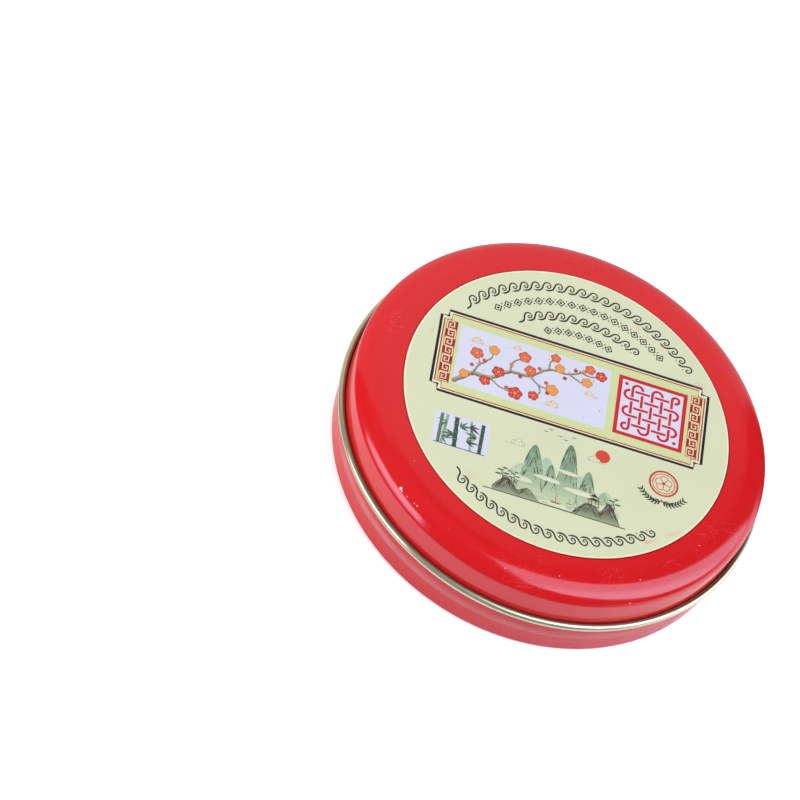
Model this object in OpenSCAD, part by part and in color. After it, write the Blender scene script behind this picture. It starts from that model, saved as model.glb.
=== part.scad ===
// Round tin for seal paste, in millimetres.
// A shallow drawn base pan holds the red paste, a clear film disc lies on the
// paste, and a slip-on lid with an outward rolled hem covers both.
// The origin is on the table, in the middle of the base. +Z is up.

/* [Lid] */
// Outer radius of the lid's skirt
lid_r = 43.7; // [40:0.05:48]
// Height of the lid's flat panel above the table
lid_top = 20.5; // [19.5:0.1:24]
// Radius of the tight bend between the shoulder and the skirt
bend_r = 1.74; // [1.2:0.02:2.4]
// Depth of that bend's centre below the flat panel
bend_drop = 3.45; // [2.9:0.05:4]
// Slope of the sheet where the wide shoulder arc meets the tight bend, in degrees
bend_slope = 50; // [42:1:56]
// Outer radius of the rolled hem
hem_r = 0.82; // [0.6:0.02:0.9]
// Height of the rolled hem's centre above the table
hem_z = 10.7; // [10:0.1:11.4]
// Angle at which the rolled sheet ends, in degrees past the skirt
hem_turn = 300; // [250:1:304]

/* [Label] */
// Radius of the printed disc
label_r = 34.4; // [25:0.1:36]
// Thickness of the printed disc
label_t = 0.1; // [0.08:0.01:0.2]

/* [Base] */
// Outer radius of the base wall at its foot
foot_r = 43.62; // [43:0.02:43.7]
// Outer radius of the base wall under the step
wall_r = 43.84; // [43.7:0.02:43.9]
// Height of the base wall's step above the table
step_z = 5.5; // [4.5:0.1:7]
// Height over which the step runs
step_h = 1.4; // [0.8:0.1:1.6]
// Radius of the bend between wall and floor
corner_r = 1.4; // [1:0.1:1.8]
// Height of the raised floor panel's underside
panel_z = 0.8; // [0.4:0.1:1.2]
// Radius of the raised floor panel
panel_r = 39.4; // [36:0.1:39.8]
// Outer radius of the rim's inward curl
curl_r = 0.62; // [0.5:0.02:0.7]
// Height of the curl's centre above the table
curl_z = 17.3; // [16:0.05:17.3]

/* [Sheet and fit] */
// Thickness of the tinplate
sheet = 0.25; // [0.2:0.01:0.28]
// Radial clearance between the lid's skirt and the base's neck
fit_gap = 0.06; // [0.03:0.01:0.1]

/* [Contents] */
// Radius of the paste
paste_r = 42.6; // [40:0.1:42.7]
// Height of the paste's top above the table
paste_z = 11; // [6:0.1:12]
// Radius of the film disc
film_r = 41.4; // [38:0.1:41.6]
// Thickness of the film
film_t = 0.12; // [0.1:0.01:0.2]
// Width of the film's folded pull tab
tab_w = 13; // [10:0.5:18]
// Length of the film's folded pull tab
tab_l = 8; // [6:0.5:12]

/* [Hidden] */

tin_red = [0.80, 0.10, 0.12];
label_cream = [0.87, 0.89, 0.76];
paste_red = [0.72, 0.08, 0.05];
film_clear = [0.86, 0.90, 0.92, 0.35];

fine = 96;         // facets of a drawn circle
arc_n = 12;        // steps of a bend

// the shoulder: a tight bend at the skirt and a wide arc above it, tangent to
// each other where the sheet has the slope bend_slope, and tangent to the panel
normal_a = 90 - bend_slope;
bend_c = [lid_r - bend_r, lid_top - bend_drop];
wide_r = (bend_drop - bend_r * sin(normal_a)) / (1 - sin(normal_a));
wide_c = [bend_c[0] - (wide_r - bend_r) * cos(normal_a), lid_top - wide_r];

// the rolled hem: the skirt's outer face becomes the inside of the roll
hem_in = hem_r - sheet;
hem_c = [lid_r + hem_in, hem_z];

// the neck slides inside the skirt
neck_r = lid_r - sheet - fit_gap;
curl_in = curl_r - sheet;
curl_c = [neck_r - curl_r, curl_z];

// points of an arc about c, from angle a to angle b
function arc(c, r, a, b, n = arc_n) =
    [for (i = [0:n]) let (q = a + (b - a) * i / n) [c[0] + r * cos(q), c[1] + r * sin(q)]];

function flip(p) = [for (i = [len(p) - 1:-1:0]) p[i]];

// one face of the lid's sheet, s further in than its outer face
function lid_face(s) = concat(
    [[0, lid_top - s]],
    arc(wide_c, wide_r - s, 90, normal_a),
    [for (p = arc(bend_c, bend_r - s, normal_a, 0)) if (p[0] != wide_c[0]) p],
    arc(hem_c, hem_in + s, 180, 180 + hem_turn, 24));

// the base's outer face from the axis outwards, s further in
foot_c = [foot_r - corner_r, corner_r];
ring_r = 0.8;      // bends of the raised panel's edge
ring_a = 52;       // their slope, in degrees
ring_x = panel_r;
ring_run = ring_r * sin(ring_a);
ring_fall = ring_r * (1 - cos(ring_a));
slope_l = (panel_z - 2 * ring_fall) / tan(ring_a);
ring_c = ring_x + 2 * ring_run + slope_l;

function base_face(s) = concat(
    [[0, panel_z + s]],
    arc([ring_x, panel_z - ring_r], ring_r + s, 90, 90 - ring_a, 6),
    arc([ring_c, ring_r], ring_r - s, 270 - ring_a, 270, 6),
    arc(foot_c, corner_r - s, 270, 360),
    [for (i = [0:8]) let (u = i / 8)
        [neck_r - s + (wall_r - neck_r) * (1 + cos(180 * u)) / 2, step_z + step_h * u]],
    arc(curl_c, curl_r - s, 0, 235, 18));

module tin_sheet(outer, inner) {
    rotate_extrude($fn = fine)
        polygon(concat(outer, flip(inner)));
}

module base_shell() {
    color(tin_red)
        tin_sheet(base_face(0), base_face(sheet));
}

module seal_paste() {
    edge = 0.9;
    bed = panel_z + sheet;
    color(paste_red)
        rotate_extrude($fn = fine)
            polygon(concat(
                [[0, bed], [panel_r - 0.2, bed], [paste_r - 0.5, bed + 1.3], [paste_r, bed + 2]],
                arc([paste_r - edge, paste_z - edge], edge, 0, 90, 6),
                [[0, paste_z]]));
}

module cover_film() {
    lift = 0.08;      // lies just over the paste
    z = paste_z + lift;
    color(film_clear)
        union() {
            translate([0, 0, z])
                cylinder(r = film_r, h = film_t, $fn = fine);
            // the pull tab, folded back flat over the disc
            translate([0, 0, z + film_t])
                linear_extrude(height = 1.6 * film_t)
                    intersection() {
                        circle(r = film_r - 0.1, $fn = fine);
                        union() {
                            translate([-tab_w / 2, -film_r])
                                square([tab_w, film_r - (film_r - tab_l) + 0]);
                            translate([0, -film_r + tab_l])
                                circle(r = tab_w / 2, $fn = 48);
                        }
                    }
        }
}

module lid_shell() {
    color(tin_red)
        tin_sheet(lid_face(0), lid_face(sheet));
}

module lid_label() {
    color(label_cream)
        translate([0, 0, lid_top])
            cylinder(r = label_r, h = label_t, $fn = fine);
}

base_shell();
seal_paste();
cover_film();
lid_shell();
lid_label();
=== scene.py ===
import math
import random

import bmesh
import bpy
import numpy as np
from mathutils import Matrix, Vector, geometry, noise


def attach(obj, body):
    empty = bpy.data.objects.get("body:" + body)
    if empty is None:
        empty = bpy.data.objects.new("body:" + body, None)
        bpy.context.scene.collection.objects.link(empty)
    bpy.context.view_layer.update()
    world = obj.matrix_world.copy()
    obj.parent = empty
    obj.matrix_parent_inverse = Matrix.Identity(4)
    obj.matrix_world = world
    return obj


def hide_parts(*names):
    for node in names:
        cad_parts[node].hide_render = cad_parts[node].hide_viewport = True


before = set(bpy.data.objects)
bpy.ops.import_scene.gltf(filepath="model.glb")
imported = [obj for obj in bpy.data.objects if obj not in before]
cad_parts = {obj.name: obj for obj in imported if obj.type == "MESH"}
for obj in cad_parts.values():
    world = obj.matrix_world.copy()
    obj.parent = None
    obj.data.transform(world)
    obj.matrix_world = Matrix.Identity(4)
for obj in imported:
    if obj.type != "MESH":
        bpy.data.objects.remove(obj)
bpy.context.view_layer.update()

MM = 0.001
scene = bpy.context.scene
scene.view_settings.view_transform = "Standard"
scene.view_settings.look = "None"
scene.view_settings.exposure = 0.0
scene.view_settings.gamma = 1.0
scene.cycles.use_denoising = True
scene.cycles.max_bounces = 10
scene.cycles.sample_clamp_indirect = 6.0

# ------------------------------------------------------------------ camera
# The tin is seen from 50 degrees above its lid, with the camera rolled.
cam_data = bpy.data.cameras.new("camera")
cam_data.lens = 153.0
cam_data.sensor_width = 36.0
cam_data.clip_start = 0.05
cam_data.clip_end = 20.0
camera = bpy.data.objects.new("camera", cam_data)
scene.collection.objects.link(camera)
right = Vector((0.944424, 0.142882, 0.296055))
down = Vector((0.291238, -0.781361, -0.551956))
ahead = Vector((0.152461, 0.607503, -0.779548))
turn = Matrix((right, -down, -ahead)).transposed().to_4x4()
camera.matrix_world = Matrix.Translation(Vector((-136.151, -416.556, 542.314)) * MM) @ turn
scene.camera = camera

# ------------------------------------------------------------------ sizes, mm
# These repeat the CAD model's own profile, so that each mesh lies on it.
LID_R, LID_TOP, BEND_R, BEND_DROP, BEND_SLOPE = 43.7, 20.5, 1.74, 3.45, 50.0
HEM_R, HEM_Z, SHEET = 0.82, 10.7, 0.25
LABEL_R, LABEL_T = 34.4, 0.1
FOOT_R, WALL_R, STEP_Z, STEP_H, CORNER_R = 43.62, 43.84, 5.5, 1.4, 1.4
PANEL_Z, PANEL_R, CURL_R, CURL_Z, FIT_GAP = 0.8, 39.4, 0.62, 17.3, 0.06
PASTE_R, PASTE_Z, FILM_R, FILM_T, TAB_W, TAB_L = 42.6, 11.0, 41.4, 0.12, 13.0, 8.0

NORMAL_A = 90 - BEND_SLOPE
BEND_C = (LID_R - BEND_R, LID_TOP - BEND_DROP)
SIN_A, COS_A = math.sin(math.radians(NORMAL_A)), math.cos(math.radians(NORMAL_A))
WIDE_R = (BEND_DROP - BEND_R * SIN_A) / (1 - SIN_A)
WIDE_C = (BEND_C[0] - (WIDE_R - BEND_R) * COS_A, LID_TOP - WIDE_R)
HEM_IN = HEM_R - SHEET
HEM_C = (LID_R + HEM_IN, HEM_Z)
NECK_R = LID_R - SHEET - FIT_GAP
CURL_C = (NECK_R - CURL_R, CURL_Z)


def arc(c, r, a, b, n):
    out = []
    for i in range(n + 1):
        q = math.radians(a + (b - a) * i / n)
        out.append((c[0] + r * math.cos(q), c[1] + r * math.sin(q)))
    return out


def line(p, q, n):
    return [(p[0] + (q[0] - p[0]) * i / n, p[1] + (q[1] - p[1]) * i / n) for i in range(n + 1)]


def joined(*runs):
    out = []
    for run in runs:
        for p in run:
            if not out or math.hypot(p[0] - out[-1][0], p[1] - out[-1][1]) > 1e-6:
                out.append(p)
    return out


# ------------------------------------------------------------------ meshes
def new_object(name, mesh):
    ob = bpy.data.objects.new(name, mesh)
    scene.collection.objects.link(ob)
    return ob


def lathe(name, faces_of_sheet, segments, sharp=40.0, shape=None):
    """A closed body of revolution. faces_of_sheet is a list of (points, slot): runs of (r, z) in mm that
    together make one closed outline, or one that begins and ends on the axis."""
    loop, slots = [], []
    for points, slot in faces_of_sheet:
        for i, p in enumerate(points):
            if loop and math.hypot(p[0] - loop[-1][0], p[1] - loop[-1][1]) < 1e-6:
                continue
            loop.append(p)
            slots.append(slot)
    on_axis = loop[0][0] < 1e-6 and loop[-1][0] < 1e-6
    if not on_axis and math.hypot(loop[0][0] - loop[-1][0], loop[0][1] - loop[-1][1]) < 1e-6:
        loop.pop()
        slots.pop()
    verts, rings = [], []
    for r, z in loop:
        if r < 1e-6:
            rings.append([len(verts)] * segments)
            verts.append((0.0, 0.0, z * MM))
            continue
        ring = []
        for k in range(segments):
            t = 2 * math.pi * k / segments
            ring.append(len(verts))
            verts.append((r * math.cos(t) * MM, r * math.sin(t) * MM, z * MM))
        rings.append(ring)
    faces, mats = [], []
    count = len(loop) if not on_axis else len(loop) - 1
    for i in range(count):
        a, b = rings[i], rings[(i + 1) % len(loop)]
        for k in range(segments):
            k2 = (k + 1) % segments
            quad = []
            for v in (a[k], b[k], b[k2], a[k2]):
                if v not in quad:
                    quad.append(v)
            if len(quad) > 2:
                faces.append(quad)
                mats.append(slots[(i + 1) % len(loop)])
    mesh = bpy.data.meshes.new(name)
    mesh.from_pydata(verts, [], faces)
    mesh.polygons.foreach_set("material_index", mats)
    mesh.polygons.foreach_set("use_smooth", [True] * len(faces))
    if shape:
        co = np.empty(len(verts) * 3)
        mesh.vertices.foreach_get("co", co)
        co = shape(co.reshape(-1, 3) / MM) * MM
        mesh.vertices.foreach_set("co", co.ravel())
    mesh.update()
    work = bmesh.new()
    work.from_mesh(mesh)
    bmesh.ops.recalc_face_normals(work, faces=work.faces)
    work.to_mesh(mesh)
    work.free()
    mesh.set_sharp_from_angle(angle=math.radians(sharp))
    return new_object(name, mesh)


# ------------------------------------------------------------------ materials
def material(name):
    m = bpy.data.materials.new(name)
    m.use_nodes = True
    nt = m.node_tree
    nt.nodes.clear()
    out = nt.nodes.new("ShaderNodeOutputMaterial")
    bsdf = nt.nodes.new("ShaderNodeBsdfPrincipled")
    nt.links.new(bsdf.outputs[0], out.inputs["Surface"])
    return m, nt, bsdf


class Nodes:
    """Short calls for building a node tree."""

    def __init__(self, nt):
        self.nt = nt

    def add(self, kind, **values):
        n = self.nt.nodes.new(kind)
        for k, v in values.items():
            setattr(n, k, v)
        return n

    def link(self, a, b):
        self.nt.links.new(a, b)

    def put(self, socket, value):
        if isinstance(value, bpy.types.NodeSocket):
            self.link(value, socket)
        elif value is not None:
            socket.default_value = value

    def coords(self):
        return self.add("ShaderNodeTexCoord").outputs["Object"]

    def math(self, op, a, b=None, c=None, clamp=False):
        n = self.add("ShaderNodeMath", operation=op, use_clamp=clamp)
        for i, v in enumerate((a, b, c)):
            if v is not None:
                self.put(n.inputs[i], v)
        return n.outputs[0]

    def vmath(self, op, a, b=None, scale=None):
        n = self.add("ShaderNodeVectorMath", operation=op)
        self.put(n.inputs[0], a)
        if b is not None:
            self.put(n.inputs[1], b)
        if scale is not None:
            self.put(n.inputs["Scale"], scale)
        return n.outputs["Value"] if op in ("LENGTH", "DISTANCE", "DOT_PRODUCT") else n.outputs["Vector"]

    def noise(self, scale, detail=3.0, rough=0.5, vector=None, out="Fac", distortion=0.0):
        n = self.add("ShaderNodeTexNoise")
        n.inputs["Scale"].default_value = scale
        n.inputs["Detail"].default_value = detail
        n.inputs["Roughness"].default_value = rough
        n.inputs["Distortion"].default_value = distortion
        self.put(n.inputs["Vector"], vector if vector is not None else self.coords())
        return n.outputs[out]

    def voronoi(self, scale, vector=None, feature="F1", out="Distance", randomness=1.0):
        n = self.add("ShaderNodeTexVoronoi", feature=feature)
        n.inputs["Scale"].default_value = scale
        n.inputs["Randomness"].default_value = randomness
        self.put(n.inputs["Vector"], vector if vector is not None else self.coords())
        return n.outputs[out]

    def remap(self, value, a, b, c, d, smooth=False):
        n = self.add("ShaderNodeMapRange", interpolation_type="SMOOTHSTEP" if smooth else "LINEAR")
        self.put(n.inputs[0], value)
        for i, v in enumerate((a, b, c, d)):
            self.put(n.inputs[i + 1], v)
        return n.outputs[0]

    def mix(self, fac, a, b, blend="MIX"):
        n = self.add("ShaderNodeMix", data_type="RGBA", blend_type=blend)
        self.put(n.inputs[0], fac)
        for i, v in ((6, a), (7, b)):
            self.put(n.inputs[i], v)
        return n.outputs[2]

    def bump(self, height, strength, distance, normal=None):
        n = self.add("ShaderNodeBump")
        n.inputs["Strength"].default_value = strength
        n.inputs["Distance"].default_value = distance
        self.put(n.inputs["Height"], height)
        if normal is not None:
            self.put(n.inputs["Normal"], normal)
        return n.outputs[0]

    def xyz(self, vector):
        n = self.add("ShaderNodeSeparateXYZ")
        self.put(n.inputs[0], vector)
        return n.outputs


def rgb(r, g, b):
    """sRGB bytes to a linear colour."""
    def f(v):
        v /= 255
        return v / 12.92 if v <= 0.04045 else ((v + 0.055) / 1.055) ** 2.4
    return (f(r), f(g), f(b), 1.0)


def streaks(n, co, angle, seed, length, thin, level):
    """Fine straight scratches in one direction: 1 on a scratch."""
    c, q = math.cos(angle), math.sin(angle)
    u = n.math("ADD", n.vmath("DOT_PRODUCT", co, (c, q, 0.0)), seed)
    v = n.vmath("DOT_PRODUCT", co, (-q, c, 0.35))
    both = n.add("ShaderNodeCombineXYZ")
    n.link(n.math("MULTIPLY", u, 1 / length), both.inputs[0])
    n.link(n.math("MULTIPLY", v, 1 / thin), both.inputs[1])
    both.inputs[2].default_value = seed * 37
    return n.remap(n.noise(1.0, 1.0, 0.5, both.outputs[0]), level, level + 0.05, 0.0, 1.0, smooth=True)


def enamel(name, seed, chips=(), step_highlight=None, rim=None, worn=()):
    """Gloss red enamel over tinplate, with fine scratches, dust specks and a few chips, and where asked a painted shade
    ring round the print and a painted highlight along the base's step.
    """
    m, nt, p = material(name)
    n = Nodes(nt)
    co = n.coords()
    x, y, z = n.xyz(co)
    moved = n.vmath("ADD", co, (seed * 0.31, seed * 0.17, seed * 0.05))
    broad = n.noise(28.0, 2.0, 0.5, moved)
    deep, bright = (0.480, 0.0080, 0.0092, 1), (0.508, 0.0086, 0.0102, 1)
    colour = n.mix(n.remap(broad, 0.3, 0.7, 0.0, 1.0), deep, bright)
    fine = n.noise(900.0, 2.0, 0.5, moved)
    rough = n.remap(fine, 0.3, 0.7, 0.10, 0.15)
    # scratches gather in patches
    patch = n.remap(n.noise(75.0, 2.0, 0.5, moved), 0.50, 0.66, 0.12, 1.0, smooth=True)
    for wx, wy, r in worn:
        near = n.vmath("LENGTH", n.vmath("MULTIPLY", n.vmath("ADD", co, (-wx * MM, -wy * MM, 0.0)), (1, 1, 0)))
        patch = n.math("MAXIMUM", patch, n.remap(near, 0.45 * r * MM, r * MM, 1.25, 0.12, smooth=True))
    lines = None
    for angle, shift, length, thin, level in ((0.15, 0.013, 0.0030, 0.000085, 0.705), (1.1, 0.041, 0.0017, 0.000075, 0.72), (2.35, 0.027, 0.0022, 0.000080, 0.715), (1.75, 0.059, 0.0012, 0.000070, 0.725)):
        one = streaks(n, moved, angle, shift, length, thin, level)
        lines = one if lines is None else n.math("MAXIMUM", lines, one)
    lines = n.math("MULTIPLY", lines, n.math("MULTIPLY", patch, n.remap(z, 14.0 * MM, 18.5 * MM, 0.3, 1.0)))
    colour = n.mix(n.math("MULTIPLY", lines, 0.52), colour, (0.60, 0.125, 0.12, 1))
    rough = n.math("ADD", rough, n.math("MULTIPLY", lines, 0.22))
    # dust and pinholes
    cell = n.add("ShaderNodeTexVoronoi", feature="F1")
    cell.inputs["Scale"].default_value = 420.0
    n.put(cell.inputs["Vector"], moved)
    pick = n.xyz(cell.outputs["Color"])[0]
    size = n.remap(pick, 0.955, 1.0, 0.0, 0.075)
    dots = n.math("MULTIPLY", n.math("LESS_THAN", cell.outputs["Distance"], size), n.math("GREATER_THAN", pick, 0.955))
    colour = n.mix(n.math("MULTIPLY", dots, 0.75), colour, (0.60, 0.36, 0.34, 1))
    rough = n.math("ADD", rough, n.math("MULTIPLY", dots, 0.3))
    small = n.add("ShaderNodeTexVoronoi", feature="F1")
    small.inputs["Scale"].default_value = 1000.0
    n.put(small.inputs["Vector"], moved)
    chosen = n.xyz(small.outputs["Color"])[1]
    motes = n.math("MULTIPLY", n.math("LESS_THAN", small.outputs["Distance"], n.remap(chosen, 0.95, 1.0, 0.02, 0.085)), n.math("GREATER_THAN", chosen, 0.95))
    colour = n.mix(n.math("MULTIPLY", motes, 0.45), colour, (0.66, 0.40, 0.36, 1))
    for cx, cy, cz, r in chips:
        near = n.vmath("ADD", co, (-cx * MM, -cy * MM, -cz * MM))
        near = n.vmath("ADD", near, n.vmath("SCALE", n.noise(1900.0, 2.0, 0.6, co, out="Color"), scale=1.5 * r * MM))
        chip = n.remap(n.vmath("LENGTH", n.vmath("ADD", near, (-0.75 * r * MM,) * 3)), r * MM * 0.75, r * MM * 1.1, 1.0, 0.0, smooth=True)
        colour = n.mix(n.math("MULTIPLY", chip, 0.92), colour, (0.76, 0.68, 0.62, 1))
        rough = n.math("ADD", rough, n.math("MULTIPLY", chip, 0.3))
    if rim:                             # painted shade: a thin dark ring on the enamel just outside the printed disc
        flat = n.vmath("LENGTH", n.vmath("MULTIPLY", co, (1, 1, 0)))
        edge = n.math("MULTIPLY", n.remap(flat, (rim + 0.2) * MM, (rim + 0.42) * MM, 1.0, 0.0, smooth=True), n.math("GREATER_THAN", z, (LID_TOP - 0.05) * MM))
        colour = n.mix(n.math("MULTIPLY", edge, 0.9), colour, (0.17, 0.002, 0.003, 1))
    if step_highlight:                          # a pale stripe along the step of the base: painted highlight in the colour, and rougher enamel there
        lo, hi = step_highlight
        middle = (lo + hi) / 2
        highlight_and_rough_band = n.math("MULTIPLY", n.remap(z, lo * MM, middle * MM, 0.0, 1.0, smooth=True), n.remap(z, middle * MM, hi * MM, 1.0, 0.0, smooth=True))
        highlight_and_rough_band = n.math("MULTIPLY", highlight_and_rough_band, n.remap(n.noise(160.0, 3.0, 0.6, moved), 0.3, 0.7, 0.75, 1.0))
        # painted highlight: the colour is paled towards pink along the step
        colour = n.mix(n.math("MULTIPLY", highlight_and_rough_band, 0.31), colour, (0.60, 0.42, 0.38, 1))
        rough = n.math("ADD", rough, n.math("MULTIPLY", highlight_and_rough_band, 0.34))
    n.link(colour, p.inputs["Base Color"])
    p.inputs["Metallic"].default_value = 0.0
    n.link(rough, p.inputs["Roughness"])
    p.inputs["IOR"].default_value = 1.5
    orange = n.noise(420.0, 2.0, 0.45, moved)
    first = n.bump(orange, 0.25, 0.00002)
    n.link(n.bump(n.math("MULTIPLY", lines, -1.0), 0.3, 0.00001, first), p.inputs["Normal"])
    return m


def lacquered_tin(name, seed):
    """Tinplate under a pale gold lacquer: part mirror, part haze, with painted shade where the skirt meets the rolled
    hem.
    """
    m, nt, p = material(name)
    n = Nodes(nt)
    at = n.coords()
    co = n.vmath("ADD", at, (seed * 0.23, seed * 0.4, 0.0))
    tone = n.noise(60.0, 3.0, 0.5, co)
    fine = n.noise(700.0, 3.0, 0.6, co)
    base = n.mix(n.remap(tone, 0.35, 0.65, 0.0, 1.0), (0.55, 0.512, 0.315, 1), (0.61, 0.57, 0.36, 1))
    specks = n.remap(n.noise(1300.0, 2.0, 0.6, co), 0.68, 0.80, 0.0, 0.12, smooth=True)
    base = n.mix(specks, base, (0.42, 0.34, 0.20, 1))
    r = n.vmath("LENGTH", n.vmath("MULTIPLY", at, (1, 1, 0)))
    # painted shade: the top of the roll next to the skirt's foot is coloured dark brown, as if in shadow
    crevice_shade = n.math("MULTIPLY", n.remap(r, (HEM_C[0] + 0.34) * MM, (HEM_C[0] + 0.02) * MM, 0.0, 1.0, smooth=True), n.math("GREATER_THAN", r, (LID_R + 0.15) * MM))
    crevice_shade = n.math("MULTIPLY", crevice_shade, n.math("GREATER_THAN", n.xyz(at)[2], (HEM_Z + 0.3) * MM))
    n.link(n.mix(n.math("MULTIPLY", crevice_shade, 0.85), base, (0.20, 0.085, 0.045, 1)), p.inputs["Base Color"])
    p.inputs["Metallic"].default_value = 0.70
    p.inputs["IOR"].default_value = 1.5
    n.link(n.remap(fine, 0.3, 0.7, 0.15, 0.21), p.inputs["Roughness"])
    n.link(n.bump(n.noise(300.0, 2.0, 0.5, co), 0.12, 0.00002), p.inputs["Normal"])
    return m


CHIPS = ((-30.5, -29.5, 19.0, 0.30), (-30.2, -30.0, 19.0, 0.16), (-29.0, -30.9, 19.1, 0.10), (-27.4, -32.1, 19.2, 0.10), (-26.8, -32.5, 19.25, 0.13), (-7.6, -40.9, 19.6, 0.09),
         (3.1, -39.5, 20.4, 0.1), (19.3, -34.7, 20.3, 0.12), (30.5, -22.6, 20.5, 0.09))
WORN = ((25.6, -30.0, 3.4), (14.0, -36.6, 4.0), (31.5, -22.6, 4.2))
red_lid = enamel("red_enamel_lid", 1.0, chips=CHIPS, rim=LABEL_R, worn=WORN)
red_base = enamel("red_enamel_base", 2.0, chips=((-10.5, -42.3, 7.6, 0.15), (22.4, -37.4, 6.4, 0.1)), step_highlight=(5.0, 7.15))
tin_gold = lacquered_tin("gold_lacquer", 1.0)

# ------------------------------------------------------------------ lid
N_AROUND = 384


def lid_run(s):
    return joined(
        line((0, LID_TOP - s), (20, LID_TOP - s), 4),
        line((20, LID_TOP - s), (WIDE_C[0], LID_TOP - s), 12),
        arc(WIDE_C, WIDE_R - s, 90, NORMAL_A, 26),
        arc(BEND_C, BEND_R - s, NORMAL_A, 0, 14),
        line((LID_R - s, BEND_C[1]), (LID_R - s, HEM_Z), 8),
        arc(HEM_C, HEM_IN + s, 180, 480, 60))


lid = lathe("lid_tinplate", [(lid_run(0.0), 0), (list(reversed(lid_run(SHEET))), 1)], N_AROUND)
lid.data.materials.append(red_lid)
lid.data.materials.append(tin_gold)
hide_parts("lid_shell")
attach(lid, "lid")

# ------------------------------------------------------------------ base
RING_R, RING_A = 0.8, 52.0
RING_RUN = RING_R * math.sin(math.radians(RING_A))
RING_FALL = RING_R * (1 - math.cos(math.radians(RING_A)))
SLOPE_L = (PANEL_Z - 2 * RING_FALL) / math.tan(math.radians(RING_A))
RING_C = PANEL_R + 2 * RING_RUN + SLOPE_L
FOOT_C = (FOOT_R - CORNER_R, CORNER_R)


def base_run(s):
    step = []
    for i in range(17):
        u = i / 16
        step.append((NECK_R - s + (WALL_R - NECK_R) * (1 + math.cos(math.pi * u)) / 2, STEP_Z + STEP_H * u))
    return joined(
        line((0, PANEL_Z + s), (20, PANEL_Z + s), 3),
        line((20, PANEL_Z + s), (PANEL_R, PANEL_Z + s), 6),
        arc((PANEL_R, PANEL_Z - RING_R), RING_R + s, 90, 90 - RING_A, 8),
        arc((RING_C, RING_R), RING_R - s, 270 - RING_A, 270, 8),
        arc(FOOT_C, CORNER_R - s, 270, 360, 14),
        line((FOOT_R - s, CORNER_R), step[0], 8),
        step,
        line(step[-1], (NECK_R - s, CURL_Z), 8),
        arc(CURL_C, CURL_R - s, 0, 235, 36))


base = lathe("base_tinplate", [(base_run(0.0), 0), (list(reversed(base_run(SHEET))), 1)], N_AROUND)
base.data.materials.append(red_base)
base.data.materials.append(tin_gold)
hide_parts("base_shell")
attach(base, "base")

# ------------------------------------------------------------------ label
# The print is made of flat shapes, in mm, each of one ink. Later shapes lie on earlier ones. The shapes are
# cut into one flat mesh, so that every edge of the print is a real edge.
PRINT = (0.718, 0.652, 0.567)


def ink(r, g, b):
    c = rgb(r, g, b)
    return (c[0] * PRINT[0], c[1] * PRINT[1], c[2] * PRINT[2])


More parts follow.
